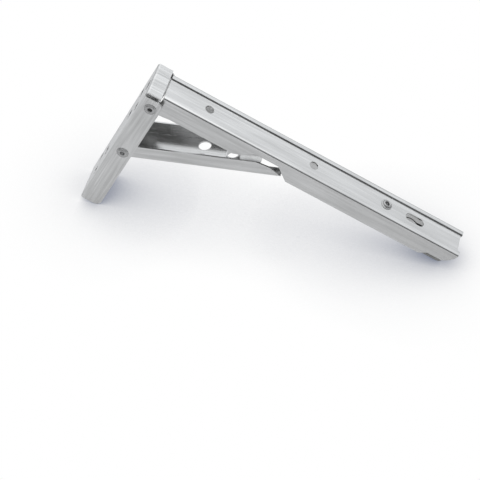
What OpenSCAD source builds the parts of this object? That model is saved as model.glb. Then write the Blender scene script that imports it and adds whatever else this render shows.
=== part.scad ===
// Folding shelf bracket: a wall channel, a shelf arm, a brace and a sprung release lever.
// Millimetres. X runs out from the wall, Y across the bracket and Z up.
// The origin lies on the wall face, in the middle of the four corner screw holes.

/* [Size] */
// Length of the shelf arm, from the wall face to its tip
arm_reach = 300; // [250:5:400]
// Height of the wall channel
wall_height = 155; // [145:1:200]
// Outside width of the wall channel
wall_width = 40; // [36:0.5:60]
// Sheet thickness of the three channels
sheet = 1.5; // [1:0.1:2]

/* [Wall channel] */
// Depth of the wall channel's side flanges, from the wall face
wall_depth = 18.2; // [18:0.2:24]
// Depth of the cap that closes the top of the wall channel
cap_depth = 13.5; // [8:0.5:14]
// Gap between the cap and each side flange
cap_slit = 0.5; // [0.3:0.1:1]
// Drop of the side flanges' top edge below the cap
flange_drop = 3.4; // [2.5:0.1:5]
// Radius of the side flanges' top front corner
flange_top_r = 7; // [3:0.5:8]
// Radius of the side flanges' bottom front corner
flange_low_r = 6; // [3:0.5:8]

/* [Wall screw holes] */
// Radius of the four corner screw holes
screw_r = 4.2; // [3:0.1:4.5]
// Spacing of the corner screw holes across the width
screw_gap_y = 17; // [14:0.5:24]
// Depth of the upper pair below the top
screw_top = 31; // [28:0.5:40]
// Depth of the lower pair below the top
screw_low = 127; // [110:0.5:170]
// Radius of the three holes on the centre line
centre_r = 4.5; // [3:0.1:5]
// Depth of the upper centre hole below the top
centre_top = 10.5; // [9:0.5:14]
// Depth of the middle centre hole below the top
centre_mid = 52; // [45:0.5:58]
// Depth of the lower centre hole below the top
centre_low = 106; // [98:0.5:112]

/* [Pivots] */
// Radius of the two pivot rivets' shanks
pin_r = 3; // [2.5:0.1:4]
// Distance of the arm pivot from the wall face
arm_pivot_x = 9.8; // [9.5:0.1:12]
// Depth of the arm pivot below the top
arm_pivot_drop = 14.3; // [12:0.1:18]
// Distance of the brace pivot from the wall face
brace_pivot_x = 10.1; // [9.8:0.1:12]
// Distance between the two pivots
pivot_gap = 62.8; // [55:0.1:80]
// Radial clearance of a pivot rivet in a part that turns on it
run_fit = 0.05; // [0.02:0.01:0.1]
// Radius of the rolled heads of the pivot rivets
head_r = 5.4; // [4.5:0.1:6]
// Height of the rolled heads
head_h = 1.2; // [0.8:0.1:1.6]
// Outside radius of the spacers and washers beside the turning parts
spacer_r = 5; // [4.2:0.1:6]
// Outside radius of the sleeve inside the arm
sleeve_r = 4.5; // [4.2:0.1:6]
// Radius of the hollow in each pivot rivet's end
hollow_r = 1.9; // [1.2:0.1:2.2]
// Side play of a turning part between its spacers, on each side
side_play = 0.15; // [0.05:0.05:0.3]
// Height of the flush cone at the inner end of the brace's two short rivets
flush_h = 0.7; // [0.4:0.1:0.9]

/* [Shelf arm] */
// Outside width of the arm
arm_width = 30; // [24:0.5:40]
// Depth of the arm's side flanges
arm_depth = 19.6; // [16:0.2:24]
// Radius of the ears around the arm pivot
ear_r = 7.9; // [6:0.1:8.2]
// Clearance between the cap and the arm's top
cap_gap = 1.4; // [0.8:0.1:3]
// Width of the floor of the recessed band along the top
band_width = 18; // [12:0.5:20]
// Depth of the recessed band
band_depth = 1.5; // [0.8:0.1:2]
// Length over which the band's end is set back at the tip
band_setback = 1.4; // [0:0.1:3]
// Distance of the first shelf hole from the wall face
shelf_hole_1 = 54; // [45:1:80]
// Distance of the second shelf hole from the wall face
shelf_hole_2 = 154; // [130:1:190]
// Radius of the two shelf holes
shelf_hole_r = 4; // [2.5:0.1:5]
// Distance of the shelf slot's middle from the arm's tip
slot_x = 46; // [40:1:52]
// Overall length of the shelf slot
slot_length = 18; // [12:0.5:22]
// Width of the shelf slot
slot_width = 8; // [5:0.5:9]
// Length of the cut-back of the flanges at the tip
tip_cut_length = 28; // [20:1:40]
// Height of the cut-back of the flanges at the tip
tip_cut_height = 5; // [3:0.5:7]

/* [Brace] */
// Outside width of the brace
brace_width = 34; // [28:0.5:44]
// Length of the brace, from its pivot to its free end
brace_length = 137; // [120:1:170]
// Angle of the brace above the horizontal when the arm is out
brace_rise = 30; // [25:0.5:35]
// Distance of the brace web's outer face from the brace pivot
brace_web_drop = 8.3; // [8:0.1:8.4]
// Height of the brace's flange edges above the brace pivot
brace_flange_rise = 5.8; // [4:0.1:7]
// Width of the cut-out in the free end of the brace
fork_width = 14.5; // [12:0.5:18]
// Length of the cut-out in the free end of the brace
fork_depth = 20; // [15:0.5:25]
// Length over which the brace's flanges slope down to its free end
toe_length = 20; // [15:0.5:25]
// Distance from the free end at which that slope gets steeper
toe_step = 8.3; // [6:0.1:12]
// Corner radius of the prongs beside that cut-out
prong_r = 3.5; // [2:0.5:4]
// Distance of the collared hole from the brace pivot
collar_hole_s = 92; // [80:1:105]
// Radius of the collared hole
collar_hole_r = 5; // [3:0.5:6]
// Height of the collar around that hole, inside the brace
collar_rise = 2.4; // [1:0.2:3]
// Distance of the two tool holes from the brace pivot
tool_hole_s = 65; // [55:1:75]
// Radius of the two tool holes
tool_hole_r = 5.6; // [4:0.1:6]
// Spacing of the two tool holes across the width
tool_hole_gap = 15.4; // [14:0.2:17]

/* [Notch in the arm] */
// Free travel of the brace's end before it meets the notch's stop face
seat_gap = 1.5; // [0.5:0.1:2.5]
// Lean of the stop face from the vertical
stop_lean = 47; // [35:1:50]
// Depth of the notch's flat roof below the arm's top
notch_roof = 7.5; // [6:0.1:9]
// Length of the notch along the flanges' lower edge
notch_length = 51; // [40:0.5:60]
// Length of the ramp that leads into the notch
ramp_length = 17; // [10:0.5:25]

/* [Release lever] */
// Sheet thickness of the lever
lever_sheet = 1.2; // [0.8:0.1:1.6]
// Width of the lever's plate
plate_width = 20; // [16:0.5:22]
// Width of the lever's long finger
finger_width = 10; // [8:0.5:12]
// Distance of the finger's end from the wall face
finger_x = 118; // [116:1:130]
// Depth of the finger's lower face below the arm's top
finger_drop = 12; // [11.2:0.1:12.4]
// Depth of the plate's lower face below the arm's top
plate_drop = 14.6; // [13:0.1:16]
// Distance of the plate's inner end from the arm's tip
plate_x = 104; // [95:1:110]
// Length of the ramp between the finger and the plate
lever_ramp = 14; // [8:1:20]
// Width of the press pad
pad_width = 18; // [14:0.5:20]
// Length of the press pad
pad_length = 25; // [18:0.5:30]
// Distance of the pad's end from the arm's tip
pad_inset = 3.6; // [2:0.2:8]
// Depth of the press pad's face below the plate
pad_rise = 5; // [3:0.5:6]
// Radius of the screw access hole in the plate
access_r = 7.4; // [6:0.1:8]
// Height of the collar above the access hole
access_collar = 4.2; // [2:0.2:6]
// Distance of the lever's fulcrum from the arm's tip
fulcrum_x = 61.4; // [59:0.1:64]
// Width of the fulcrum tab
tab_width = 10; // [8:0.5:12]
// Length of the window that the fulcrum tab is bent from
window_length = 7; // [5:0.5:8]
// Clearance of the fulcrum tab under the arm's web
tab_gap = 0.15; // [0.1:0.05:0.3]

/* [Lever stud and spring] */
// Distance of the lever stud from the arm's tip
stud_x = 74.4; // [70:0.1:78]
// Radius of the stud's shank
stud_r = 2.5; // [2:0.1:3]
// Radius of the stud's domed head
stud_head_r = 6; // [5:0.1:7]
// Thickness of the stud's head
stud_head_h = 2.5; // [1.5:0.1:3.5]
// Depth of the head's outer face below the arm's top
stud_drop = 23; // [21:0.1:23.4]
// Radius of the stud's rolled collar on top of the arm
eyelet_r = 5; // [4:0.1:6]
// Height of the rolled collar above the recessed band
eyelet_h = 2.2; // [1.5:0.1:3]
// Radius of the hollow in the stud's top
eyelet_hollow = 1.7; // [1:0.1:2]
// Radial clearance around the stud's shank where it is riveted
seat_fit = 0.02; // [0.01:0.01:0.05]
// Radius of the hole in the lever that the stud passes through
stud_hole_r = 4.4; // [4:0.1:5]
// Wire diameter of the lever spring
wire_d = 0.9; // [0.6:0.1:1.2]
// Mean radius of the lever spring
spring_r = 5.2; // [5:0.1:5.6]
// Number of turns of the lever spring
spring_turns = 4; // [3:0.5:6]

/* [Hidden] */
$fn = 48;
steel = [0.74, 0.75, 0.76];
bend_r = sheet + 0.8;
top_z = (screw_top + screw_low) / 2;
base_z = top_z - wall_height;
arm_pivot_z = top_z - arm_pivot_drop;
brace_pivot_z = arm_pivot_z - pivot_gap;
arm_start = cap_depth + cap_gap;
arm_low = top_z - arm_depth;
notch_z = top_z - notch_roof;
wall_inner = wall_width / 2 - sheet;
arm_inner = arm_width / 2 - sheet;
brace_inner = brace_width / 2 - sheet;
band_under = top_z - band_depth - sheet;
hinge_z = band_under - tab_gap;
plate_z = top_z - plate_drop;
finger_z = top_z - finger_drop;
pad_z = plate_z - pad_rise;
slot_at = arm_reach - slot_x;
plate_start = arm_reach - plate_x;
fulcrum_at = arm_reach - fulcrum_x;
stud_at = arm_reach - stud_x;
pad_end = arm_reach - pad_inset;
pad_start = pad_end - pad_length;
head_top = top_z - stud_drop + stud_head_h;

// Point of the brace's own plane, at distance s along it and k across it, in the bracket's plane.
function brace_point(s, k) = [
    brace_pivot_x + s * cos(brace_rise) - k * sin(brace_rise),
    brace_pivot_z + s * sin(brace_rise) + k * cos(brace_rise)
];
// X of the notch's stop face at height z: it leans out past the lower corner of the brace's end.
function stop_x(z) = stop_corner[0] - (z - stop_corner[1]) * tan(stop_lean);
stop_corner = brace_point(brace_length + seat_gap, -brace_web_drop);
notch_end = stop_x(arm_low);
notch_start = notch_end - notch_length;

// Outline of a channel's outside: square foot, two rounded corners at the top, top edge on y = 0.
module rounded_top(w, h, r) {
    translate([-w / 2, -h]) square([w, h - r]);
    translate([-w / 2 + r, -h]) square([w - 2 * r, h]);
    for (side = [-1, 1]) translate([side * (w / 2 - r), -r]) circle(r);
}

// Cross-section of a plain folded channel, open downwards.
module channel_section(w, h) {
    difference() {
        rounded_top(w, h, bend_r);
        translate([0, -sheet]) rounded_top(w - 2 * sheet, h, bend_r - sheet);
    }
}

// Turns a cross-section drawn in Y and Z into a bar along X.
module along_x(x0, x1) {
    translate([x0, 0, 0]) rotate([90, 0, 90]) linear_extrude(x1 - x0) children();
}

// Turns an outline drawn in X and Z into a slab across Y.
module across_y(w) {
    rotate([90, 0, 0]) linear_extrude(w, center = true) children();
}

// Cylinder along Y through the whole width, centred on y = 0.
module cross_bore(x, z, r, w) {
    translate([x, 0, z]) rotate([90, 0, 0]) cylinder(r = r, h = w, center = true);
}

// Ring along Y between y0 and y1.
module ring(x, z, r_out, r_in, y0, y1) {
    translate([x, y1, z]) rotate([90, 0, 0]) difference() {
        cylinder(r = r_out, h = y1 - y0);
        translate([0, 0, -1]) cylinder(r = r_in, h = y1 - y0 + 2);
    }
}

// Side outline of the wall channel's flanges.
module wall_side() {
    top = top_z - flange_drop;
    difference() {
        translate([0, base_z]) square([wall_depth, top - base_z]);
        translate([wall_depth - flange_top_r, top - flange_top_r]) square(flange_top_r + 1);
        translate([wall_depth - flange_low_r, base_z - 1]) square(flange_low_r + 1);
    }
    translate([wall_depth - flange_top_r, top - flange_top_r]) circle(flange_top_r);
    translate([wall_depth - flange_low_r, base_z + flange_low_r]) circle(flange_low_r);
}

// Wall channel: web on the wall, two side flanges and a cap folded over between them.
module wall_channel() color(steel) {
    cap_half = wall_inner - cap_slit;
    difference() {
        union() {
            intersection() {
                translate([0, 0, base_z]) rotate([0, 0, 90])
                    linear_extrude(wall_height) channel_section(wall_width, wall_depth + 1);
                across_y(wall_width + 2) wall_side();
            }
            translate([0, 0, top_z - bend_r]) rotate([90, 0, 0])
                linear_extrude(2 * cap_half, center = true) cap_profile();
        }
        for (y = [-1, 1], drop = [screw_top, screw_low])
            translate([-1, y * screw_gap_y / 2, top_z - drop]) rotate([0, 90, 0])
                cylinder(r = screw_r, h = sheet + 2);
        for (drop = [centre_top, centre_mid, centre_low])
            translate([-1, 0, top_z - drop]) rotate([0, 90, 0])
                cylinder(r = centre_r, h = sheet + 2);
        cross_bore(arm_pivot_x, arm_pivot_z, pin_r + seat_fit, wall_width + 2);
        cross_bore(brace_pivot_x, brace_pivot_z, pin_r + seat_fit, wall_width + 2);
    }
}

// Profile of the cap and its bend, in X and Z from the start of the bend.
module cap_profile() {
    difference() {
        union() {
            translate([0, -2]) square([bend_r, 2]);
            translate([bend_r, 0]) circle(bend_r);
            translate([bend_r, bend_r - sheet]) square([cap_depth - bend_r, sheet]);
        }
        translate([sheet, -3]) square([bend_r, 3]);
        translate([bend_r, 0]) circle(bend_r - sheet);
        translate([bend_r, -bend_r - 1]) square([bend_r + 1, 2 * bend_r - sheet + 1]);
    }
}

// Cross-section of the arm: a channel with a recessed band between two raised rails.
module arm_section() {
    floor_half = band_width / 2;
    height = arm_depth + 6;
    difference() {
        rounded_top(arm_width, height, bend_r);
        difference() {
            translate([0, -sheet]) rounded_top(arm_width - 2 * sheet, height, bend_r - sheet);
            polygon([
                [-floor_half - 1.6, 0], [floor_half + 1.6, 0], [floor_half + 1.6, -sheet],
                [floor_half + 0.6, -sheet - band_depth], [-floor_half - 0.6, -sheet - band_depth],
                [-floor_half - 1.6, -sheet]
            ]);
        }
        polygon([
            [-floor_half - 1, 1], [-floor_half - 1, 0], [-floor_half, -band_depth],
            [floor_half, -band_depth], [floor_half + 1, 0], [floor_half + 1, 1]
        ]);
    }
}

// Side outline of the arm: ear around the pivot, straight flange and cut-back tip.
module arm_side() {
    difference() {
        polygon([
            [arm_pivot_x - ear_r, arm_pivot_z + ear_r], [arm_start, arm_pivot_z + ear_r],
            [arm_start, top_z], [arm_reach, top_z], [arm_reach, top_z - 1.6],
            [arm_reach - 1.2, top_z - 6], [arm_reach - 4.4, top_z - 11],
            [arm_reach - 9, arm_low + tip_cut_height],
            [arm_reach - tip_cut_length + tip_cut_height, arm_low + tip_cut_height],
            [arm_reach - tip_cut_length - 1, arm_low], [arm_start + 14, arm_low],
            [arm_pivot_x, arm_pivot_z - ear_r], [arm_pivot_x - ear_r, arm_pivot_z - ear_r]
        ]);
        difference() {
            translate([arm_pivot_x - ear_r - 1, arm_pivot_z - ear_r - 1]) square([ear_r + 1, 2 * ear_r + 2]);
            translate([arm_pivot_x, arm_pivot_z]) circle(ear_r);
        }
    }
}

// The notch in the arm's flanges: a ramp, a flat roof and a leaning stop face.
module notch_outline() {
    polygon([
        [notch_start - 1, arm_low - 1], [notch_start, arm_low], [notch_start + 0.35 * ramp_length, arm_low + 2.8],
        [notch_start + ramp_length - 1.6, notch_z - 1.2], [notch_start + ramp_length + 1, notch_z],
        [stop_x(notch_z), notch_z], [stop_x(arm_low - 1), arm_low - 1]
    ]);
}

// Shelf arm: one folded sheet with the recessed band, its holes and the notches.
module arm_channel() color(steel) {
    difference() {
        intersection() {
            along_x(0, arm_reach) translate([0, top_z]) arm_section();
            across_y(arm_width + 2) arm_side();
        }
        across_y(arm_width + 4) notch_outline();
        cross_bore(arm_pivot_x, arm_pivot_z, pin_r + run_fit, arm_width + 2);
        for (x = [shelf_hole_1, shelf_hole_2])
            translate([x, 0, top_z - 6]) cylinder(r = shelf_hole_r, h = 8);
        translate([0, 0, top_z - 6]) linear_extrude(8) slot_outline();
        translate([stud_at, 0, top_z - 6]) cylinder(r = stud_r + seat_fit, h = 8);
        translate([arm_reach - band_setback, -band_width / 2, top_z - 6])
            cube([band_setback + 1, band_width, 8]);
    }
}

module slot_outline() {
    run = slot_length - slot_width;
    translate([slot_at - run / 2, -slot_width / 2]) square([run, slot_width]);
    for (side = [-1, 1]) translate([slot_at + side * run / 2, 0]) circle(slot_width / 2);
}

// Side outline of the brace in its own plane: pivot at the origin, length along X.
module brace_side() {
    low = -brace_web_drop;
    circle(brace_flange_rise + 2);
    polygon([
        [-1, brace_flange_rise + 1.6], [9, brace_flange_rise],
        [brace_length - toe_length, brace_flange_rise], [brace_length - toe_step, 1.1],
        [brace_length - 2.6, -4.4], [brace_length - 1, low + 2.4],
        [brace_length, low + sheet], [brace_length, low], [7, low],
        [-1, -brace_flange_rise - 1.6]
    ]);
}

// Plan outline of the brace's web: square start, forked end with rounded prongs.
module brace_plan() {
    half = brace_width / 2;
    difference() {
        translate([7, -half]) square([brace_length - 7, brace_width]);
        translate([brace_length - fork_depth, -fork_width / 2]) square([fork_depth + 1, fork_width]);
        for (side = [-1, 1])
            translate([brace_length - prong_r, side > 0 ? fork_width / 2 - 1 : -fork_width / 2 - prong_r])
                square(prong_r + 1);
    }
    for (side = [-1, 1])
        translate([brace_length - prong_r, side * (fork_width / 2 + prong_r)]) circle(prong_r);
}

// Brace in its own plane: channel with its web below, collared hole, tool holes and forked end.
module brace_body() {
    low = -brace_web_drop;
    difference() {
        union() {
            difference() {
                intersection() {
                    translate([-10, 0, low]) rotate([90, 0, 90]) linear_extrude(brace_length + 12)
                        mirror([0, 1]) channel_section(brace_width, brace_web_drop + brace_flange_rise + 4);
                    across_y(brace_width + 2) brace_side();
                }
                translate([-12, -brace_inner, low - 1]) cube([19, 2 * brace_inner, 4]);
                difference() {
                    translate([7, -brace_inner, low - 1]) cube([brace_length, 2 * brace_inner, 1 + sheet]);
                    translate([0, 0, low - 2]) linear_extrude(sheet + 4) brace_plan();
                }
            }
            translate([collar_hole_s, 0, low + sheet - 0.5])
                cylinder(r = collar_hole_r + 1.1, h = collar_rise + 0.5);
        }
        translate([collar_hole_s, 0, low - 1]) cylinder(r = collar_hole_r, h = sheet + collar_rise + 2);
        for (side = [-1, 1])
            translate([tool_hole_s, side * tool_hole_gap / 2, low - 1])
                cylinder(r = tool_hole_r, h = sheet + 2);
        cross_bore(0, 0, pin_r + run_fit, brace_width + 2);
        for (side = [-1, 1])
            rotate([-90 * side, 0, 0]) translate([0, 0, brace_inner - 0.5])
                cylinder(r1 = pin_r + run_fit + flush_h + 0.5, r2 = pin_r + run_fit, h = flush_h + 0.5);
    }
}

module brace_channel() color(steel) {
    translate([brace_pivot_x, 0, brace_pivot_z]) rotate([0, -brace_rise, 0]) brace_body();
}

// Release lever: finger, plate with window, fulcrum tab and access hole, and a raised press pad.
module release_lever() color(steel) {
    t = lever_sheet;
    difference() {
        union() {
            across_y(finger_width) polygon([
                [finger_x, finger_z], [plate_start - lever_ramp, finger_z], [plate_start, plate_z],
                [plate_start + 1, plate_z], [plate_start + 1, plate_z + t], [plate_start, plate_z + t],
                [plate_start - lever_ramp, finger_z + t], [finger_x, finger_z + t]
            ]);
            translate([plate_start, -plate_width / 2, plate_z])
                cube([pad_start - plate_start, plate_width, t]);
            translate([slot_at, 0, plate_z]) cylinder(r = access_r + t, h = access_collar);
            press_pad();
        }
        translate([slot_at, 0, plate_z - 1]) cylinder(r = access_r, h = access_collar + 2);
        translate([stud_at, 0, plate_z - 1]) cylinder(r = stud_hole_r, h = t + 2);
        translate([fulcrum_at - window_length / 2 - 1, -tab_width / 2 - 1.2, plate_z - 1])
            cube([window_length, tab_width + 2.4, t + 2]);
    }
    across_y(tab_width) polygon([
        [fulcrum_at + window_length / 2 - 1.2, plate_z], [fulcrum_at + window_length / 2 - 0.6, plate_z],
        [fulcrum_at + window_length / 2 - 0.6, plate_z + t], [fulcrum_at + 0.6, hinge_z],
        [fulcrum_at - 0.6, hinge_z]
    ]);
}

// Press pad: a shallow pan that stands below the plate, with two side walls and an end wall.
module press_pad() {
    t = lever_sheet;
    across_y(pad_width) polygon([
        [pad_start - 3, plate_z], [pad_start, pad_z], [pad_end, pad_z],
        [pad_end, plate_z + t], [pad_end - t, plate_z + t], [pad_end - t, pad_z + t],
        [pad_start + 0.8, pad_z + t], [pad_start - 1.6, plate_z + t], [pad_start - 3, plate_z + t]
    ]);
    for (side = [-1, 1])
        translate([0, side * (pad_width / 2 - t / 2), 0]) across_y(t) polygon([
            [pad_start - 3, plate_z + t], [pad_start - 3, plate_z], [pad_start, pad_z],
            [pad_end, pad_z], [pad_end, plate_z + t]
        ]);
}

// Through rivet across the wall channel, with hollow rolled heads at both ends.
module through_rivet(x, z) {
    half = wall_width / 2;
    translate([x, 0, z]) rotate([90, 0, 0]) difference() {
        union() {
            cylinder(r = pin_r, h = wall_width + head_h, center = true);
            for (side = [0, 180]) rotate([side, 0, 0]) translate([0, 0, half]) rolled_head();
        }
        for (side = [0, 180]) rotate([side, 0, 0]) translate([0, 0, half - 5])
            cylinder(r = hollow_r, h = 5 + head_h + 1);
    }
}

// Short rivet on one side: rolled head outside, shank, and a flush cone in the brace's flange.
module side_rivet(side) {
    half = wall_width / 2;
    translate([brace_pivot_x, 0, brace_pivot_z]) rotate([-90 * side, 0, 0]) difference() {
        union() {
            translate([0, 0, brace_inner]) cylinder(r = pin_r, h = half - brace_inner + head_h / 2);
            translate([0, 0, brace_inner]) cylinder(r1 = pin_r + flush_h, r2 = pin_r, h = flush_h);
            translate([0, 0, half]) rolled_head();
        }
        translate([0, 0, half - 2]) cylinder(r = hollow_r, h = 2 + head_h + 1);
    }
}

module rolled_head() {
    rotate_extrude() difference() {
        union() {
            square([head_r - head_h / 2, head_h]);
            translate([head_r - head_h / 2, head_h / 2]) circle(head_h / 2);
        }
        translate([-1, 0]) square([1 + hollow_r * 0.5, head_h + 1]);
    }
}

module arm_pivot_rivet() color(steel) through_rivet(arm_pivot_x, arm_pivot_z);
module brace_rivet_near() color(steel) side_rivet(-1);
module brace_rivet_far() color(steel) side_rivet(1);

module arm_spacer_near() color(steel)
    ring(arm_pivot_x, arm_pivot_z, spacer_r, pin_r + seat_fit, -wall_inner, -arm_width / 2 - side_play);
module arm_spacer_far() color(steel)
    ring(arm_pivot_x, arm_pivot_z, spacer_r, pin_r + seat_fit, arm_width / 2 + side_play, wall_inner);
module arm_sleeve() color(steel)
    ring(arm_pivot_x, arm_pivot_z, sleeve_r, pin_r + seat_fit, -arm_inner + side_play, arm_inner - side_play);
module brace_washer_near() color(steel)
    ring(brace_pivot_x, brace_pivot_z, spacer_r, pin_r + seat_fit, -wall_inner, -brace_width / 2 - side_play);
module brace_washer_far() color(steel)
    ring(brace_pivot_x, brace_pivot_z, spacer_r, pin_r + seat_fit, brace_width / 2 + side_play, wall_inner);

// Stud that holds the lever: domed head below, shouldered shank, hollow rolled collar on the arm.
module lever_stud() color(steel) translate([stud_at, 0, 0]) {
    face = top_z - band_depth;
    difference() {
        union() {
            translate([0, 0, head_top - 0.5]) cylinder(r = stud_r, h = face + eyelet_h - head_top + 0.5 - 0.6);
            translate([0, 0, head_top - stud_head_h]) stud_head();
            translate([0, 0, head_top - 0.1]) cylinder(r = stud_r + 1, h = 2);
            translate([0, 0, band_under - 2]) cylinder(r = stud_r + 1.4, h = 2);
            translate([0, 0, face]) eyelet();
        }
        translate([0, 0, face - 4]) cylinder(r = eyelet_hollow, h = eyelet_h + 5);
    }
}

module stud_head() {
    rotate_extrude() difference() {
        union() {
            translate([0, 0.9]) square([stud_head_r, stud_head_h - 0.9]);
            square([stud_head_r - 0.9, stud_head_h]);
            translate([stud_head_r - 0.9, 0.9]) circle(0.9);
        }
        translate([-2, -1]) square([2, stud_head_h + 2]);
    }
}

module eyelet() {
    rotate_extrude() difference() {
        union() {
            square([eyelet_r - eyelet_h / 2, eyelet_h]);
            translate([eyelet_r - eyelet_h / 2, eyelet_h / 2]) circle(eyelet_h / 2);
        }
        translate([-1, -1]) square([1, eyelet_h + 2]);
        translate([0, eyelet_h + 0.4]) circle(eyelet_hollow + 1.1);
    }
}

// Lever spring: round wire wound around the stud, between the head and the lever's plate.
module lever_spring() color(steel) {
    low = head_top + wire_d / 2;
    high = plate_z - wire_d / 2;
    steps = 20 * spring_turns;
    facets = 8;
    path = [for (i = [0:steps]) let (a = 360 * spring_turns * i / steps)
        for (j = [0:facets - 1]) let (b = 360 * j / facets, r = spring_r + wire_d / 2 * cos(b))
            [stud_at + r * cos(a), r * sin(a), low + (high - low) * i / steps + wire_d / 2 * sin(b)]];
    skin = [for (i = [0:steps - 1], j = [0:facets - 1]) let (k = (j + 1) % facets)
        [i * facets + j, (i + 1) * facets + j, (i + 1) * facets + k, i * facets + k]];
    ends = [[for (j = [0:facets - 1]) j], [for (j = [facets - 1:-1:0]) steps * facets + j]];
    polyhedron(points = path, faces = concat(skin, ends), convexity = 10);
}

wall_channel();
arm_channel();
brace_channel();
release_lever();
arm_pivot_rivet();
arm_spacer_near();
arm_spacer_far();
arm_sleeve();
brace_rivet_near();
brace_rivet_far();
brace_washer_near();
brace_washer_far();
lever_stud();
lever_spring();
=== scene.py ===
"""Dressed scene of a folding shelf bracket in satin steel sheet, unfolded on a pale table."""

import logging
import math
from collections.abc import Sequence
from dataclasses import dataclass, field
from enum import Enum

import bmesh
import bpy
import numpy as np
from mathutils import Matrix, Vector


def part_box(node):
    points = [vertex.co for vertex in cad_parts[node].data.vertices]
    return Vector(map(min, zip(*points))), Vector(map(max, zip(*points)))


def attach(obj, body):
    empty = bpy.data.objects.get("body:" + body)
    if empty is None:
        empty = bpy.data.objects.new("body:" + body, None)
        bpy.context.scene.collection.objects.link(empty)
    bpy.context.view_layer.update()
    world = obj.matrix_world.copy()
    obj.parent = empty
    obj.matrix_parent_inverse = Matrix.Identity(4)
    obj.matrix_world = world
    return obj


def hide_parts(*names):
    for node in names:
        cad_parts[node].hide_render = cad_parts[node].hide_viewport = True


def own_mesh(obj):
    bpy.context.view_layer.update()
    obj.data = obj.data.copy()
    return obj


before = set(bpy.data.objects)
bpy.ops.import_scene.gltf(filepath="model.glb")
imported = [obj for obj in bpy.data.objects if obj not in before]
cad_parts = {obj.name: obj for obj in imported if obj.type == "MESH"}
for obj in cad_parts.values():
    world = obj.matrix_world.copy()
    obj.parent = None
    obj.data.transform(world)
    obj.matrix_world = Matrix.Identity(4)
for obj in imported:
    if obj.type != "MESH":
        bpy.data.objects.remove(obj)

MM = 0.001
LOG = logging.getLogger("bracket")

Socket = bpy.types.NodeSocket
Triple = tuple[float, float, float]
Colour = Triple
Span = tuple[float, float]
WHITE: Colour = (1.0, 1.0, 1.0)
UNIT: Span = (0.0, 1.0)

MERGE_DISTANCE = 1e-7
FLAT_DISTANCE = 1e-8


class Grain(Enum):
    """Direction of the rolling grain in a sheet, as a turn about Y in degrees from +X."""

    ALONG_ARM = 0.0
    UP_WALL = 90.0
    ALONG_BRACE = 30.0


class Spin(Enum):
    """Axis that a turned piece is round about."""

    ACROSS = "y"
    UPRIGHT = "z"


def arc(centre: Span, radii: Span, start: float, end: float, count: int) -> np.ndarray:
    """Points on an ellipse: centre plus (radius times cosine, radius times sine) of an even run of angles.

    Args:
        centre: radius and height of the ellipse's centre.
        radii: half-widths along the radius and along the height.
        start: first angle in degrees.
        end: last angle in degrees.
        count: number of points.

    Returns:
        Array of shape (count, 2).
    """
    angle = np.radians(np.linspace(start, end, count))
    return np.column_stack([centre[0] + radii[0] * np.cos(angle), centre[1] + radii[1] * np.sin(angle)])


def grid_faces(rows: int, columns: int) -> np.ndarray:
    """Quads of a grid: each joins point (i, j) to its neighbours at i + 1 and j + 1, and j wraps round.

    Args:
        rows: number of rows of points.
        columns: number of points in a row.

    Returns:
        Array of shape (faces, 4) of point indices.
    """
    i, j = np.meshgrid(np.arange(rows - 1), np.arange(columns), indexing="ij")
    k = (j + 1) % columns
    quads = [i * columns + j, i * columns + k, (i + 1) * columns + k, (i + 1) * columns + j]
    return np.stack(quads, axis=-1).reshape(-1, 4)


def mesh_object(
    name: str, points: np.ndarray, faces: np.ndarray, caps: Sequence[Sequence[int]] = ()
) -> bpy.types.Object:
    """Put a grid into a smooth mesh object at the origin, with seams merged and faces pointing out.

    Args:
        name: name of the piece.
        points: array of shape (n, 3), in metres.
        faces: array of shape (m, 4) of indices.
        caps: further faces that close open ends.

    Returns:
        The new object, linked to the scene.
    """
    mesh = bpy.data.meshes.new(name)
    mesh.from_pydata(points.tolist(), [], faces.tolist() + [list(cap) for cap in caps])
    work = bmesh.new()
    work.from_mesh(mesh)
    bmesh.ops.remove_doubles(work, verts=work.verts, dist=MERGE_DISTANCE)
    bmesh.ops.dissolve_degenerate(work, edges=work.edges, dist=FLAT_DISTANCE)
    bmesh.ops.recalc_face_normals(work, faces=work.faces)
    work.to_mesh(mesh)
    work.free()
    mesh.polygons.foreach_set("use_smooth", np.ones(len(mesh.polygons), bool))
    return linked(name, mesh)


def linked(name: str, data: bpy.types.ID) -> bpy.types.Object:
    """Make an object from its data and link it to the scene.

    Args:
        name: name of the object.
        data: its mesh, light or camera.

    Returns:
        The new object.
    """
    thing = bpy.data.objects.new(name, data)
    bpy.context.scene.collection.objects.link(thing)
    return thing


def lathe(name: str, profile: np.ndarray, centre: Vector, spin: Spin, segments: int = 64) -> bpy.types.Object:
    """Surface of revolution: radius r and height h of the profile go to (r cos a, r sin a, h) round the axis.

    Args:
        name: name of the piece.
        profile: array of shape (n, 2) of radius and height, from the axis back to the axis.
        centre: point on the axis at height 0.
        spin: direction of the axis.
        segments: number of steps round the axis.

    Returns:
        The new object.
    """
    angle = np.linspace(0, 2 * np.pi, segments, endpoint=False)
    r, h = profile[:, :1], profile[:, 1:]
    heights = np.broadcast_to(h, (len(profile), segments))
    around = np.stack([r * np.cos(angle), r * np.sin(angle), heights], -1)
    if spin is Spin.ACROSS:
        around = np.stack([around[..., 0], around[..., 2], -around[..., 1]], -1)
    points = around.reshape(-1, 3) + np.array(centre)
    return mesh_object(name, points, grid_faces(len(profile), segments))


def box_middle(node: str) -> tuple[float, ...]:
    """Middle of a frame node's box, as three numbers."""
    low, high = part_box(node)
    return tuple((a + b) / 2 for a, b in zip(low, high))


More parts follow.
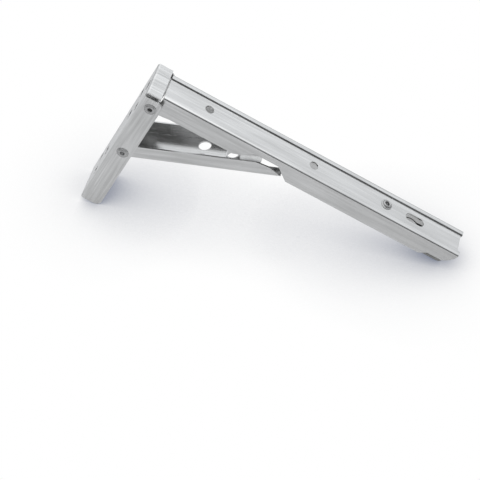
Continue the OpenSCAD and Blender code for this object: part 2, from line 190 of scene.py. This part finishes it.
class Graph:
    """The nodes of one material or world."""

    def __init__(self, tree: bpy.types.NodeTree) -> None:
        """Take a node tree and empty it."""
        self.tree = tree
        self.tree.nodes.clear()

    def add(self, kind: str, **settings: object) -> bpy.types.Node:
        """Add a node.

        Args:
            kind: Blender's name for the kind of node.
            settings: properties to set on it.

        Returns:
            The new node.
        """
        node = self.tree.nodes.new(kind)
        for key, value in settings.items():
            setattr(node, key, value)
        return node

    def link(self, source: Socket, target: Socket) -> None:
        """Join an output to an input."""
        self.tree.links.new(source, target)

    def maths(
        self, operation: str, first: Socket, second: Socket | float, clamp: bool = False
    ) -> Socket:
        """Combine two values.

        Args:
            operation: name of the sum, as the Math node has it.
            first: the first value.
            second: the second value, an output or a number.
            clamp: hold the result between 0 and 1.

        Returns:
            The socket with the result.
        """
        node = self.add("ShaderNodeMath", operation=operation, use_clamp=clamp)
        self.link(first, node.inputs[0])
        if isinstance(second, float):
            node.inputs[1].default_value = second
        else:
            self.link(second, node.inputs[1])
        return node.outputs["Value"]

    def ranged(
        self, source: Socket, inward: Span, outward: Span, curve: str = "LINEAR"
    ) -> Socket:
        """Carry one span of values over to another, and hold what lies past either end.

        Args:
            source: the value.
            inward: where the span starts and ends in the value.
            outward: what comes out at those two ends.
            curve: how the result runs between them.

        Returns:
            The socket with the result.
        """
        node = self.add("ShaderNodeMapRange", interpolation_type=curve)
        for socket, value in zip(("From Min", "From Max", "To Min", "To Max"), (*inward, *outward)):
            node.inputs[socket].default_value = value
        self.link(source, node.inputs["Value"])
        return node.outputs["Result"]

    def dot(self, first: Socket, second: Socket | Vector) -> Socket:
        """How far two directions agree: the dot product, 1 where they are the same.

        Args:
            first: the first direction.
            second: the second direction, an output or a fixed one.

        Returns:
            The socket with the product.
        """
        node = self.add("ShaderNodeVectorMath", operation="DOT_PRODUCT")
        self.link(first, node.inputs[0])
        if isinstance(second, Vector):
            node.inputs[1].default_value = second
        else:
            self.link(second, node.inputs[1])
        return node.outputs["Value"]

    def mixed(
        self, share: Socket, first: Socket, second: Socket
    ) -> Socket:
        """Mix two shaders.

        Args:
            share: 0 for the first shader, 1 for the second.
            first: the first shader.
            second: the second shader.

        Returns:
            The socket with the mixed shader.
        """
        node = self.add("ShaderNodeMixShader")
        for target, source in zip(node.inputs, (share, first, second)):
            self.link(source, target)
        return node.outputs["Shader"]


def material_graph(name: str) -> tuple[bpy.types.Material, Graph]:
    """Start a material that has no nodes yet.

    Args:
        name: name of the material.

    Returns:
        The material and its graph.
    """
    material = bpy.data.materials.new(name)
    material.use_nodes = True
    return material, Graph(material.node_tree)


class Shade(Graph):
    """A steel material: its shader, and the noises and masks that feed it."""

    noise_middle: Span = (0.3, 0.7)
    looks_up: float = 0.7
    edge_turn: Span = (0.97, 0.80)
    edge_samples: int = 6

    def __init__(self, name: str) -> None:
        """Start a metal with a Principled shader and object coordinates."""
        self.material = bpy.data.materials.new(name)
        self.material.use_nodes = True
        super().__init__(self.material.node_tree)
        self.shader = self.add("ShaderNodeBsdfPrincipled")
        self.shader.inputs["Metallic"].default_value = 1.0
        output = self.add("ShaderNodeOutputMaterial")
        self.link(self.shader.outputs["BSDF"], output.inputs["Surface"])
        self.place = self.add("ShaderNodeTexCoord").outputs["Object"]
        self.folded: Socket | None = None

    def stretched_noise(self, turn_deg: float, lengths_mm: Triple, detail: float) -> Socket:
        """Noise whose grains have the given lengths along three axes that are turned about Y.

        Args:
            turn_deg: turn of the first axis from +X, upwards.
            lengths_mm: size of a grain along, across and through.
            detail: detail of the noise.

        Returns:
            The noise's factor socket.
        """
        turned, scaled = self.add("ShaderNodeMapping"), self.add("ShaderNodeMapping")
        turned.inputs["Rotation"].default_value = (0.0, math.radians(turn_deg), 0.0)
        scaled.inputs["Scale"].default_value = tuple(1 / (length * MM) for length in lengths_mm)
        noise = self.add("ShaderNodeTexNoise")
        noise.inputs["Scale"].default_value = 1.0
        noise.inputs["Detail"].default_value = detail
        upright = turn_deg >= Grain.UP_WALL.value
        self.link(self.folded_place() if upright else self.place, turned.inputs["Vector"])
        self.link(turned.outputs["Vector"], scaled.inputs["Vector"])
        self.link(scaled.outputs["Vector"], noise.inputs["Vector"])
        return noise.outputs["Fac"]

    def folded_place(self) -> Socket:
        """Object coordinates whose X and Z change places on faces that look up.

        Upright grain folds over a bend in that way.

        Returns:
            The socket with the coordinates, the same one at every call.
        """
        if self.folded is None:
            normal, place = self.add("ShaderNodeSeparateXYZ"), self.add("ShaderNodeSeparateXYZ")
            self.link(self.add("ShaderNodeNewGeometry").outputs["Normal"], normal.inputs[0])
            self.link(self.place, place.inputs[0])
            swapped = self.add("ShaderNodeCombineXYZ")
            for axis, other in (("X", "Z"), ("Y", "Y"), ("Z", "X")):
                self.link(place.outputs[axis], swapped.inputs[other])
            choice = self.add("ShaderNodeMix", data_type="VECTOR")
            share, plain, turned = choice.inputs[0], choice.inputs[4], choice.inputs[5]
            self.link(self.maths("GREATER_THAN", normal.outputs["Z"], self.looks_up), share)
            self.link(self.place, plain)
            self.link(swapped.outputs[0], turned)
            self.folded = choice.outputs[1]
        return self.folded

    def span(self, source: Socket, low: float, high: float) -> Socket:
        """Stretch the middle of a noise over low to high."""
        return self.ranged(source, self.noise_middle, (low, high))

    def tones(
        self, share: Socket, first: Socket | Colour, second: Colour
    ) -> Socket:
        """Mix two colours.

        Args:
            share: 0 for the first colour, 1 for the second.
            first: the first colour, an output or a fixed one.
            second: the second colour.

        Returns:
            The socket with the mixed colour.
        """
        mix = self.add("ShaderNodeMix", data_type="RGBA")
        if isinstance(first, tuple):
            mix.inputs["A"].default_value = (*first, 1.0)
        else:
            self.link(first, mix.inputs["A"])
        mix.inputs["B"].default_value = (*second, 1.0)
        self.link(share, mix.inputs["Factor"])
        return mix.outputs["Result"]

    def worn_edges(self, radius_mm: float) -> tuple[Socket, Socket]:
        """Softened normal near edges, and a mask that is 1 where it departs from the true normal.

        Args:
            radius_mm: how far from an edge the softening reaches.

        Returns:
            The normal socket and the mask socket.
        """
        bevel = self.add("ShaderNodeBevel", samples=self.edge_samples)
        bevel.inputs["Radius"].default_value = radius_mm * MM
        true_normal = self.add("ShaderNodeNewGeometry").outputs["Normal"]
        agreement = self.dot(bevel.outputs["Normal"], true_normal)
        return bevel.outputs["Normal"], self.ranged(agreement, self.edge_turn, UNIT)

    def bump(
        self, height: Socket, strength: float, depth_mm: float, normal: Socket | None = None
    ) -> None:
        """Let a height dent the surface.

        Args:
            height: the height, from 0 to 1.
            strength: how much of the dent shows.
            depth_mm: how deep a height of 1 is.
            normal: the normal to start from, where it isn't the surface's own.
        """
        node = self.add("ShaderNodeBump")
        node.inputs["Strength"].default_value = strength
        node.inputs["Distance"].default_value = depth_mm * MM
        self.link(height, node.inputs["Height"])
        if normal is not None:
            self.link(normal, node.inputs["Normal"])
        self.link(node.outputs["Normal"], self.shader.inputs["Normal"])


@dataclass(frozen=True)
class SheetFinish:
    """Satin rolled sheet: fine streaks along the grain, soft blotches, and rubbed bright edges.

    The patterns' sizes are the lengths of a grain along, across and through. Their shares are how much of the
    run from dark to light each of them adds.
    """

    name: str
    grain: Grain
    dark: Colour = (0.53, 0.53, 0.525)
    light: Colour = (0.82, 0.82, 0.815)
    edge: Colour = (0.88, 0.88, 0.87)
    roughness: Span = (0.15, 0.28)
    streak_mm: float = 0.35
    streak_length_mm: float = 60.0
    blotch_mm: Triple = (46.0, 2.6, 2.6)
    drift_mm: Triple = (70.0, 16.0, 16.0)
    speck_mm: Triple = (1.6, 1.0, 1.0)
    streak_share: Span = (-0.05, 0.42)
    blotch_share: Span = (-0.05, 0.34)
    drift_share: Span = (0.0, 0.32)
    rubbed_share: Span = (0.5, 1.0)
    edge_mm: float = 0.35
    edge_polish: float = 0.08
    bump_mm: float = 0.010
    bump_strength: float = 0.6

    def material(self) -> bpy.types.Material:
        """Build the material for this sheet.

        Returns:
            The finished material.
        """
        shade = Shade(self.name)
        turn = self.grain.value
        streak = (self.streak_length_mm, self.streak_mm, self.streak_mm)
        streaks = shade.stretched_noise(turn, streak, detail=3.0)
        blotches = shade.stretched_noise(turn, self.blotch_mm, detail=2.0)
        specks = shade.stretched_noise(turn, self.speck_mm, detail=4.0)
        drift = shade.stretched_noise(turn, self.drift_mm, detail=1.5)
        normal, edges = shade.worn_edges(self.edge_mm)
        fine = shade.maths(
            "ADD", shade.span(streaks, *self.streak_share), shade.span(blotches, *self.blotch_share))
        tone = shade.maths("ADD", fine, shade.span(drift, *self.drift_share))
        rubbed = shade.maths("MULTIPLY", edges, shade.span(specks, *self.rubbed_share))
        colour = shade.tones(rubbed, shade.tones(tone, self.dark, self.light), self.edge)
        shade.link(colour, shade.shader.inputs["Base Color"])
        low, high = self.roughness
        middle = (high - low) / 2
        rough = shade.maths("ADD", shade.span(streaks, low, low + middle), shade.span(blotches, 0.0, middle))
        polished = shade.maths("SUBTRACT", rough, shade.maths("MULTIPLY", edges, self.edge_polish))
        shade.link(polished, shade.shader.inputs["Roughness"])
        shade.bump(shade.maths("ADD", streaks, specks), self.bump_strength, self.bump_mm, normal)
        return shade.material


@dataclass(frozen=True)
class TurnedFinish:
    """Turned or drawn steel: fine grain in every direction, with small marks from riveting."""

    name: str
    dark: Colour = (0.40, 0.40, 0.40)
    light: Colour = (0.58, 0.58, 0.575)
    roughness: Span = (0.24, 0.40)
    grain_mm: float = 0.5
    mark_mm: float = 2.6
    tone_share: Span = (0.0, 0.5)
    bump_mm: float = 0.015
    bump_strength: float = 0.5

    def material(self) -> bpy.types.Material:
        """Build the material for turned pieces.

        Returns:
            The finished material.
        """
        shade = Shade(self.name)
        fine = shade.stretched_noise(0.0, (self.grain_mm,) * 3, detail=4.0)
        marks = shade.stretched_noise(0.0, (self.mark_mm,) * 3, detail=2.0)
        tone = shade.maths("ADD", shade.span(fine, *self.tone_share), shade.span(marks, *self.tone_share))
        shade.link(shade.tones(tone, self.dark, self.light), shade.shader.inputs["Base Color"])
        shade.link(shade.span(marks, *self.roughness), shade.shader.inputs["Roughness"])
        shade.bump(fine, self.bump_strength, self.bump_mm)
        return shade.material


ARM_SHEET = SheetFinish("arm_sheet_satin", Grain.ALONG_ARM)
WALL_SHEET = SheetFinish(
    "wall_sheet_satin", Grain.UP_WALL, dark=(0.50, 0.50, 0.495), light=(0.90, 0.90, 0.895))
BRACE_SHEET = SheetFinish("brace_sheet_satin", Grain.ALONG_BRACE)
LEVER_SHEET = SheetFinish("lever_sheet_satin", Grain.ALONG_ARM, streak_mm=0.25)
# Painted shade: the press pan is the lever's own satin steel, coloured far darker, edges included, to stand
# for the shade under the pad and its dark reflection.
PAN_SHEET_PAINTED_SHADE = SheetFinish(
    "press_pan_satin_painted_shade", Grain.ALONG_ARM, dark=(0.20, 0.20, 0.195), light=(0.34, 0.34, 0.33),
    edge=(0.60, 0.60, 0.59), roughness=(0.3, 0.45), edge_mm=0.25)
RIVET_STEEL = TurnedFinish("rivet_steel_turned")
STUD_STEEL = TurnedFinish("stud_steel_turned")
SPRING_WIRE = TurnedFinish("spring_wire_drawn", dark=(0.20, 0.20, 0.205), light=(0.34, 0.34, 0.345))


def dress(node: str, material: bpy.types.Material) -> None:
    """Give a frame node its material.

    Args:
        node: name of the frame node.
        material: its material.
    """
    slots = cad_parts[node].data.materials
    slots.clear()
    slots.append(material)
    LOG.info("dressed %s", node)


def finish_piece(
    piece: bpy.types.Object, node: str, body: str, material: bpy.types.Material
) -> None:
    """Dress a new piece, let it ride on a body, and let it stand for a frame node.

    Args:
        piece: the new piece.
        node: the frame node it stands for.
        body: the body that carries it.
        material: its material.
    """
    piece.data.materials.append(material)
    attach(piece, body)
    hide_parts(node)
    LOG.info("made %s with %d faces", piece.name, len(piece.data.polygons))


@dataclass
class RolledHead:
    """Hollow rolled end of a rivet: a flat skirt, a rounded lip and a hollow with a sloping floor.

    The lip's inset is counted in skirts. The floor's rise and width are shares of the hollow's radius.
    """

    head_r: float
    height: float
    hollow_r: float
    hollow_depth: float
    skirt: float = 0.5 * MM
    lip_inset: float = 2.2
    floor_rise: float = 0.6
    floor_width: float = 0.55
    rim_points: int = 9
    lip_points: int = 17

    def profile(self, seat: float) -> np.ndarray:
        """Radius and height from under the head's rim, over the lip and down the hollow to the axis.

        The skirt is a small half circle, the lip half an ellipse, and the hollow a cone.

        Args:
            seat: height of the face that the head sits on.

        Returns:
            Array of shape (n, 2).
        """
        rim = self.skirt / 2
        lip_out = self.head_r - self.lip_inset * self.skirt
        lip_mid = (lip_out + self.hollow_r) / 2
        lip_radii = ((lip_out - self.hollow_r) / 2, self.height - self.skirt)
        edge = arc((self.head_r - rim, seat + rim), (rim, rim), -90, 90, self.rim_points)
        lip = arc((lip_mid, seat + self.skirt), lip_radii, 0, 180, self.lip_points)
        deep = seat + self.height - self.hollow_depth
        hollow = np.array([
            [self.hollow_r, deep + self.floor_rise * self.hollow_r],
            [self.floor_width * self.hollow_r, deep],
            [0.0, deep],
        ])
        return np.vstack([edge, lip, hollow])


@dataclass
class WallPlate:
    """The wall channel with its rivets, spacers, washers and sleeve."""

    shank_r: float = 3.0 * MM
    hollow_r: float = 1.9 * MM
    through_hollow: float = 5.0 * MM
    side_hollow: float = 2.6 * MM
    flush: float = 0.7 * MM
    head_height: float = field(init=False)
    half_width: float = field(init=False)

    def __post_init__(self) -> None:
        """Read the channel's half-width and the heads' height from the frame."""
        self.half_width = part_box("wall_channel")[1].y
        self.head_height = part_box("arm_pivot_rivet")[1].y - self.half_width

    def head(self, node: str, depth: float) -> RolledHead:
        """Head of a rivet, as wide as its frame node."""
        low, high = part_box(node)
        return RolledHead((high.x - low.x) / 2, self.head_height, self.hollow_r, depth)

    def axle(self, node: str) -> Vector:
        """Point in the bracket's middle plane that a rivet is round about."""
        x, _, z = box_middle(node)
        return Vector((x, 0, z))

    def through_rivet(self) -> bpy.types.Object:
        """The arm's rivet: two rolled heads on one shank, one half being the other's mirror image.

        Returns:
            The new piece.
        """
        node = "arm_pivot_rivet"
        upper = self.head(node, self.through_hollow).profile(self.half_width)
        half = np.vstack([[[self.shank_r, self.half_width]], upper])
        profile = np.vstack([half[::-1] * (1, -1), half])
        return lathe("arm_rivet_rolled", profile, self.axle(node), Spin.ACROSS)

    def side_rivet(self, node: str, name: str, side: int) -> bpy.types.Object:
        """A short rivet of the brace: a flush cone inside, a shank and a rolled head outside.

        Args:
            node: frame node that it stands for.
            name: name of the piece.
            side: -1 for the near side, 1 for the far side.

        Returns:
            The new piece.
        """
        low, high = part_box(node)
        inner = min(abs(low.y), abs(high.y))
        flush = np.array([
            [0.0, inner],
            [self.shank_r + self.flush, inner],
            [self.shank_r, inner + self.flush],
            [self.shank_r, self.half_width],
        ])
        outer = self.head(node, self.side_hollow).profile(self.half_width)
        profile = np.vstack([flush, outer]) * (1, side)
        return lathe(name, profile, self.axle(node), Spin.ACROSS)

    def build(self) -> None:
        """Dress the sheet and make the rivets."""
        dress("wall_channel", WALL_SHEET.material())
        turned = RIVET_STEEL.material()
        rings = ("arm_spacer_near", "arm_spacer_far", "arm_sleeve", "brace_washer_near", "brace_washer_far")
        for node in rings:
            dress(node, turned)
        finish_piece(self.through_rivet(), "arm_pivot_rivet", "wall", turned)
        sides = (
            ("brace_rivet_near", "brace_rivet_rolled_near", -1),
            ("brace_rivet_far", "brace_rivet_rolled_far", 1),
        )
        for node, name, side in sides:
            finish_piece(self.side_rivet(node, name, side), node, "wall", turned)


@dataclass
class ShelfArm:
    """The arm's sheet, and the stud and spring that hold the lever.

    The stud widens twice on its way up, to a post on its head and to a shoulder below the arm. The shoulder's
    two heights are depths under the arm's face.
    """

    shank_r: float = 2.5 * MM
    post_out: float = 1.0 * MM
    post_height: float = 1.9 * MM
    shoulder_out: float = 1.4 * MM
    shoulder_low: float = 5.0 * MM
    shoulder_high: float = 3.0 * MM
    head_edge: float = 0.9 * MM
    head_height: float = 2.5 * MM
    head_chamfer: float = 0.2 * MM
    dome_points: int = 15
    collar_r: float = 5.0 * MM
    collar_height: float = 2.2 * MM
    collar_depth: float = 4.5 * MM
    hollow_r: float = 1.7 * MM
    wire_r: float = 0.45 * MM
    wire_sides: int = 14
    turns: float = 4.0
    turn_steps: int = 36
    end_ease: float = 0.09
    spring_keep: float = 0.75

    def stud(self) -> bpy.types.Object:
        """The stud: a shallow domed head below, a stepped shank, and a rolled hollow collar on top.

        Returns:
            The new piece.
        """
        low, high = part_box("lever_stud")
        x, y, _ = box_middle("lever_stud")
        head_r = (high.x - low.x) / 2
        face, head_top = high.z - self.collar_height, low.z + self.head_height
        post_r, shoulder_r = self.shank_r + self.post_out, self.shank_r + self.shoulder_out
        dome = arc((0.0, low.z + self.head_edge), (head_r, self.head_edge), -90, 0, self.dome_points)
        side = np.array([
            [head_r, head_top - self.head_chamfer],
            [head_r - self.head_chamfer, head_top],
            [post_r, head_top],
            [post_r, head_top + self.post_height],
            [self.shank_r, head_top + self.post_height],
            [self.shank_r, face - self.shoulder_low],
            [shoulder_r, face - self.shoulder_low],
            [shoulder_r, face - self.shoulder_high],
            [self.shank_r, face - self.shoulder_high],
            [self.shank_r, face],
        ])
        collar = RolledHead(self.collar_r, self.collar_height, self.hollow_r, self.collar_depth).profile(face)
        return lathe("lever_stud_rolled", np.vstack([dome, side, collar]), Vector((x, y, 0)), Spin.UPRIGHT)

    def spring(self) -> bpy.types.Object:
        """The coil spring: the wire's round section carried along a helix whose pitch eases at both ends.

        The helix is (R cos a, R sin a, h), and the circle lies in the plane of the radius and the axis.

        Returns:
            The new piece.
        """
        low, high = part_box("lever_spring")
        x, y, _ = box_middle("lever_spring")
        centre = Vector((x, y, 0))
        coil_r = (high.x - low.x) / 2 - self.wire_r
        steps, sides = int(self.turn_steps * self.turns), self.wire_sides
        share = np.linspace(0, 1, steps + 1)
        angle = 2 * np.pi * self.turns * share
        eased = share - self.end_ease * np.sin(2 * np.pi * share)
        height = low.z + self.wire_r + (high.z - low.z - 2 * self.wire_r) * eased
        ring = np.linspace(0, 2 * np.pi, sides, endpoint=False)
        radius = coil_r + self.wire_r * np.cos(ring)[None, :]
        points = np.stack([
            centre.x + radius * np.cos(angle)[:, None],
            centre.y + radius * np.sin(angle)[:, None],
            height[:, None] + self.wire_r * np.sin(ring)[None, :] * np.ones_like(angle)[:, None],
        ], -1).reshape(-1, 3)
        caps = [list(range(sides)), list(range(steps * sides, (steps + 1) * sides))]
        return mesh_object("lever_spring_coil", points, grid_faces(steps + 1, sides), caps)

    def build(self) -> None:
        """Dress the sheet and make the stud and the spring."""
        dress("arm_channel", ARM_SHEET.material())
        finish_piece(self.stud(), "lever_stud", "arm", STUD_STEEL.material())
        coil = self.spring()
        finish_piece(coil, "lever_spring", "arm", SPRING_WIRE.material())
        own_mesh(coil)


@dataclass
class Brace:
    """The brace's sheet."""

    def build(self) -> None:
        """Dress the sheet."""
        dress("brace_channel", BRACE_SHEET.material())


@dataclass
class ReleaseLever:
    """The lever's sheet, and the pressed pan under its pad that a finger pushes."""

    pan_length: float = 25.0 * MM
    pan_width: float = 21.5 * MM
    pan_depth: float = 4.2 * MM
    sink: float = 0.6 * MM
    draft: float = 1.1 * MM
    edge_r: float = 0.9 * MM
    edge_points: int = 7
    ring_points: int = 96
    corner_power: float = 5.0

    def pan(self) -> bpy.types.Object:
        """A shallow pan with drafted sides: rounded rectangles stacked along a profile of inset and height.

        Each ring is a superellipse, where the cosine and the sine of the angle are raised to 2 over the
        corner power and keep their signs. The profile runs down the drafted side and round the lower edge,
        and both ends close on the middle.

        Returns:
            The new piece.
        """
        low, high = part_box("release_lever")
        top, bottom = low.z + self.sink, low.z - self.pan_depth
        bend_centre = (self.draft + self.edge_r, bottom + self.edge_r)
        bend = arc(bend_centre, (self.edge_r, self.edge_r), 180, 270, self.edge_points)
        half = self.pan_width / 2
        profile = np.vstack([[half, top], [0.0, top], bend, [half, bottom]])
        angle = np.linspace(0, 2 * np.pi, self.ring_points, endpoint=False)
        power = 2 / self.corner_power
        across = np.sign(np.sin(angle)) * np.abs(np.sin(angle)) ** power
        along = np.sign(np.cos(angle)) * np.abs(np.cos(angle)) ** power
        inset, height = profile[:, :1], profile[:, 1:]
        shut = (inset >= half).astype(float)
        length = (self.pan_length / 2 - inset) * (1 - shut)
        width = (half - inset) * (1 - shut)
        middle = high.x - self.pan_length / 2
        heights = np.broadcast_to(height, (len(profile), self.ring_points))
        points = np.stack([middle + length * along, width * across, heights], -1)
        return mesh_object("press_pan", points.reshape(-1, 3), grid_faces(len(profile), self.ring_points))

    def build(self) -> None:
        """Dress the sheet and add the pan."""
        dress("release_lever", LEVER_SHEET.material())
        pan = self.pan()
        # The pan's dark colour is painted shade, not a darker steel.
        pan.data.materials.append(PAN_SHEET_PAINTED_SHADE.material())
        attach(pan, "lever")
        LOG.info("made %s with %d faces", pan.name, len(pan.data.polygons))


@dataclass
class Studio:
    """Pale table, one soft lamp, a white room with a scrim, and the camera.

    The bracket rests on the wall channel's lower corner and on the press pan, so the table leans in its
    frame. The lamp's place is counted from the middle of the bracket, up from the table, across and along
    it. The room's levels run from its dim side to its bright side.
    """

    camera_place: Triple = (-0.0898, -0.8162, 0.8944)
    camera_aim: Triple = (0.1226, -0.0798, 0.0410)
    camera_level_deg: float = 26.06
    focal_mm: float = 105.0
    sensor_mm: float = 36.0
    corner_r: float = 6.0 * MM
    corner_sink: float = 0.12
    floor_half: float = 0.9
    floor_gap: float = 0.3 * MM
    floor_ahead: float = 0.15
    key_watts: float = 1.3
    key_size: float = 1.15
    key_colour: Colour = (1.0, 0.985, 0.96)
    key_up: float = 0.9
    key_across: float = 0.12
    key_along: float = 0.05
    table_tone: Colour = (0.30, 0.305, 0.315)
    table_glow: float = 0.41
    shade_tone: Colour = (0.10, 0.125, 0.20)
    shade_reach: float = 0.095
    shade_samples: int = 16
    shade_open: Span = (0.98, 0.15)
    back_weight: float = 0.35
    room_edges: Span = (0.10, 0.74)
    room_levels: Span = (0.10, 1.0)
    room_tint: Colour = (0.955, 0.975, 1.0)
    below_edges: Span = (0.16, -0.14)
    below_level: float = 0.62
    scrim_r: float = 2.5
    middle: Vector = field(default_factory=lambda: Vector((0.13, 0, 0.02)))
    pan_toe: Vector = field(default_factory=lambda: Vector((1.4 * MM, 0, 4.2 * MM)))
    lean: float = field(init=False)
    rest_point: Vector = field(init=False)

    def __post_init__(self) -> None:
        """Work out the table's lean from the two places that the bracket rests on."""
        wall_low, wall_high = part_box("wall_channel")
        pad_low, pad_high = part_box("release_lever")
        foot = Vector((wall_high.x - self.corner_r, 0, wall_low.z))
        toe = Vector((pad_high.x - self.pan_toe.x, 0, pad_low.z - self.pan_toe.z))
        self.lean = math.atan2(toe.z - foot.z, toe.x - foot.x)
        self.rest_point = foot

    def axes(self) -> tuple[Vector, Vector, Vector]:
        """Directions along, across and up from the table."""
        along = Vector((math.cos(self.lean), 0, math.sin(self.lean)))
        return along, Vector((0, 1, 0)), Vector((-math.sin(self.lean), 0, math.cos(self.lean)))

    def floor(self) -> None:
        """A plain pale table, white to the camera but for the soft shade of what stands close over it.

        The camera looks through it to the white room, darkened by how much of the sky over a point is
        covered. Other rays meet a pale matt face. From below, and for shadows, it isn't there.
        """
        along, across, up = self.axes()
        depth = self.floor_gap + self.corner_r * self.corner_sink
        middle = self.rest_point + along * self.floor_ahead - up * depth
        half = self.floor_half
        signs = ((-1, -1), (1, -1), (1, 1), (-1, 1))
        corners = [middle + along * a * half + across * b * half for a, b in signs]
        mesh = bpy.data.meshes.new("table")
        mesh.from_pydata([tuple(corner) for corner in corners], [], [(0, 1, 2, 3)])
        mesh.materials.append(self.table_material())
        linked("table", mesh)

    def table_material(self) -> bpy.types.Material:
        """The table's face: see-through with soft shade for the camera, pale and matt for other rays.

        Returns:
            The finished material.
        """
        material, graph = material_graph("table_pale")
        clear, shade = graph.add("ShaderNodeBsdfTransparent"), graph.add("ShaderNodeEmission")
        shade.inputs["Color"].default_value = (*self.shade_tone, 1.0)
        matt = graph.add("ShaderNodeBsdfPrincipled")
        matt.inputs["Base Color"].default_value = (*self.table_tone, 1.0)
        matt.inputs["Roughness"].default_value = 1.0
        matt.inputs["Emission Color"].default_value = (*WHITE, 1.0)
        matt.inputs["Emission Strength"].default_value = self.table_glow
        cover = graph.add("ShaderNodeAmbientOcclusion", samples=self.shade_samples)
        cover.inputs["Distance"].default_value = self.shade_reach
        depth = graph.ranged(cover.outputs["AO"], self.shade_open, UNIT)
        path, face = graph.add("ShaderNodeLightPath").outputs, graph.add("ShaderNodeNewGeometry").outputs
        absent = graph.maths("MAXIMUM", path["Is Shadow Ray"], face["Backfacing"])
        seen = graph.mixed(depth, clear.outputs["BSDF"], shade.outputs["Emission"])
        front = graph.mixed(path["Is Camera Ray"], matt.outputs["BSDF"], seen)
        whole = graph.mixed(absent, front, clear.outputs["BSDF"])
        graph.link(whole, graph.add("ShaderNodeOutputMaterial").inputs["Surface"])
        return material

    def lamp(self) -> None:
        """One large soft square lamp overhead, a little behind, turned towards the bracket."""
        along, across, up = self.axes()
        place = self.middle + up * self.key_up + across * self.key_across + along * self.key_along
        data = bpy.data.lights.new("key", "AREA")
        data.size, data.energy, data.color = self.key_size, self.key_watts, self.key_colour
        turn = (self.middle - place).to_track_quat("-Z", "Y").to_matrix().to_4x4()
        linked("key", data).matrix_world = Matrix.Translation(place) @ turn

    def room_strength(self, graph: Graph, direction: Socket) -> Socket:
        """Nodes for how bright the room is in a direction.

        The strength follows the direction's height over the table plus a third of its Y, along a smooth step,
        and rises again from the horizon down, for level views and for what hangs below the table when folded.

        Args:
            graph: graph that takes the nodes.
            direction: socket with the direction as a unit vector.

        Returns:
            The socket with the strength.
        """
        up = self.axes()[2]
        bright_side = (up + Vector((0, self.back_weight, 0))).normalized()
        facing = graph.dot(direction, bright_side)
        room = graph.ranged(facing, self.room_edges, self.room_levels, "SMOOTHSTEP")
        below = graph.ranged(graph.dot(direction, up), self.below_edges, (0.0, self.below_level))
        return graph.maths("ADD", room, below, clamp=True)

    def scrim(self) -> None:
        """A wide round scrim that dims the white background in the metal on the camera's side.

        Only glossy rays meet it. For the camera, for shadows and for all other rays it isn't there.
        """
        mesh = bpy.data.meshes.new("scrim")
        ball = bmesh.new()
        bmesh.ops.create_icosphere(ball, subdivisions=3, radius=self.scrim_r)
        ball.to_mesh(mesh)
        ball.free()
        mesh.materials.append(self.scrim_material())
        scrim = linked("scrim", mesh)
        scrim.location = self.middle

    def scrim_material(self) -> bpy.types.Material:
        """The scrim's cloth: clear, but graded grey for glossy rays.

        Returns:
            The finished material.
        """
        material, graph = material_graph("scrim_cloth")
        outward = graph.add("ShaderNodeVectorMath", operation="SUBTRACT")
        outward.inputs[1].default_value = self.middle
        graph.link(graph.add("ShaderNodeNewGeometry").outputs["Position"], outward.inputs[0])
        unit = graph.add("ShaderNodeVectorMath", operation="NORMALIZE")
        graph.link(outward.outputs["Vector"], unit.inputs[0])
        tone = graph.add("ShaderNodeVectorMath", operation="SCALE")
        tone.inputs[0].default_value = self.room_tint
        graph.link(self.room_strength(graph, unit.outputs["Vector"]), tone.inputs["Scale"])
        clear, cloth = graph.add("ShaderNodeBsdfTransparent"), graph.add("ShaderNodeBsdfTransparent")
        graph.link(tone.outputs["Vector"], cloth.inputs["Color"])
        glossy = graph.add("ShaderNodeLightPath").outputs["Is Glossy Ray"]
        whole = graph.mixed(glossy, clear.outputs["BSDF"], cloth.outputs["BSDF"])
        graph.link(whole, graph.add("ShaderNodeOutputMaterial").inputs["Surface"])
        return material

    def world(self) -> None:
        """A plain white background for the camera, metal and glass, and a graded white room for light."""
        world = bpy.data.worlds.new("studio")
        bpy.context.scene.world = world
        world.use_nodes = True
        graph = Graph(world.node_tree)
        room, back = graph.add("ShaderNodeBackground"), graph.add("ShaderNodeBackground")
        room.inputs["Color"].default_value = (*self.room_tint, 1.0)
        direction = graph.add("ShaderNodeTexCoord").outputs["Generated"]
        graph.link(self.room_strength(graph, direction), room.inputs["Strength"])
        back.inputs["Color"].default_value = (*WHITE, 1.0)
        back.inputs["Strength"].default_value = 1.0
        path = graph.add("ShaderNodeLightPath").outputs
        mirrored = graph.maths("MAXIMUM", path["Is Glossy Ray"], path["Is Transmission Ray"])
        seen = graph.maths("MAXIMUM", path["Is Camera Ray"], mirrored)
        whole = graph.mixed(seen, room.outputs["Background"], back.outputs["Background"])
        graph.link(whole, graph.add("ShaderNodeOutputWorld").inputs["Surface"])

    def camera(self) -> None:
        """The camera at the photograph's place, level with the table it stood over."""
        place, aim = Vector(self.camera_place), Vector(self.camera_aim)
        level = math.radians(self.camera_level_deg)
        forward = (aim - place).normalized()
        right = forward.cross(Vector((-math.sin(level), 0, math.cos(level)))).normalized()
        over = right.cross(forward)
        data = bpy.data.cameras.new("photo_camera")
        data.lens, data.sensor_width = self.focal_mm, self.sensor_mm
        camera = linked("photo_camera", data)
        turn = Matrix((right, over, -forward)).transposed().to_4x4()
        camera.matrix_world = Matrix.Translation(place) @ turn
        bpy.context.scene.camera = camera

    def build(self) -> None:
        """Set up the table, the lamp, the scrim, the world and the camera."""
        self.floor()
        self.lamp()
        self.scrim()
        self.world()
        self.camera()
        bpy.context.scene.view_settings.view_transform = "Standard"
        LOG.info("studio leans %.1f degrees", math.degrees(self.lean))


def main() -> None:
    """Build and dress every sub-assembly."""
    logging.basicConfig(level=logging.INFO, format="%(name)s: %(message)s")
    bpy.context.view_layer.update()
    for part in (WallPlate(), ShelfArm(), Brace(), ReleaseLever(), Studio()):
        part.build()


if __name__ == "__main__":
    main()
